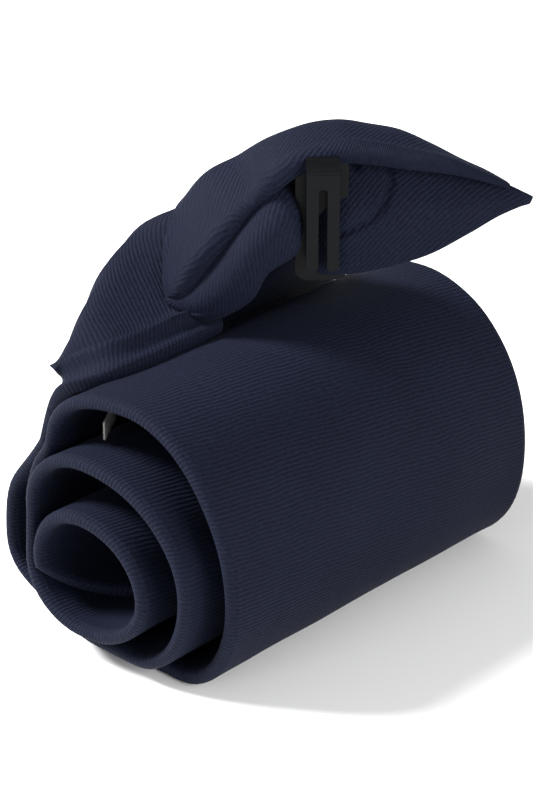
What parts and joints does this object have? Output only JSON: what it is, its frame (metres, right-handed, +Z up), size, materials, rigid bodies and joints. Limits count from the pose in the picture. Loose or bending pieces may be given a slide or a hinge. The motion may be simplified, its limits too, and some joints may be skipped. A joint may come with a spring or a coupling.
{
  "type": "necktie",
  "caption": "Dark woven clip-on necktie rolled up from its pointed tip, with a short neck, a ready-tied padded knot and a sprung collar clip.",
  "frame": {"origin": "centre of the footprint, on the surface that the roll lies on", "axes": "+X along the axis of the roll, away from the open near end; +Y towards the loose outer lobe at the back of the roll; +Z up"},
  "size_m": [0.084, 0.0642, 0.0837],
  "materials": {
    "tie_twill": "navy fine twill with a slight sheen",
    "interlining": "brushed off-white wool blend",
    "tip_lining": "smooth navy lining",
    "thread": "navy sewing thread",
    "label": "plain pale satin tape",
    "clip_plastic": "black moulded plastic, semi-matt"
  },
  "bodies": {
    "roll": {"blade_shell": "tie_twill", "blade_interlining": "interlining", "tip_lining": "tip_lining", "blade_slip_stitch": "thread", "blade_bar_tack": "thread", "care_label": "label"},
    "knot": {"neck_shell": "tie_twill", "neck_interlining": "interlining", "neck_slip_stitch": "thread", "knot_front_wrap": "tie_twill", "knot_left_wing": "tie_twill", "knot_right_wing": "tie_twill", "knot_core": "interlining", "knot_seam_stitches": "thread", "clip_tack_stitches": "thread", "clip_plate": "clip_plastic"},
    "fork": {"clip_fork": "clip_plastic"}
  },
  "joints": [
    {"name": "knot_lift", "type": "hinge", "parent": "roll", "child": "knot", "pos_m": [0.004, 0.0217, 0.0419], "axis": [-1, 0, 0], "range_deg": [0, 60]},
    {"name": "clip_flex", "type": "hinge", "parent": "knot", "child": "fork", "pos_m": [0.00715, -0.00715, 0.07817], "axis": [-0.7071, 0.7071, 0], "range_deg": [0, 8], "stiffness_Nm_per_rad": 0.05}
  ]
}
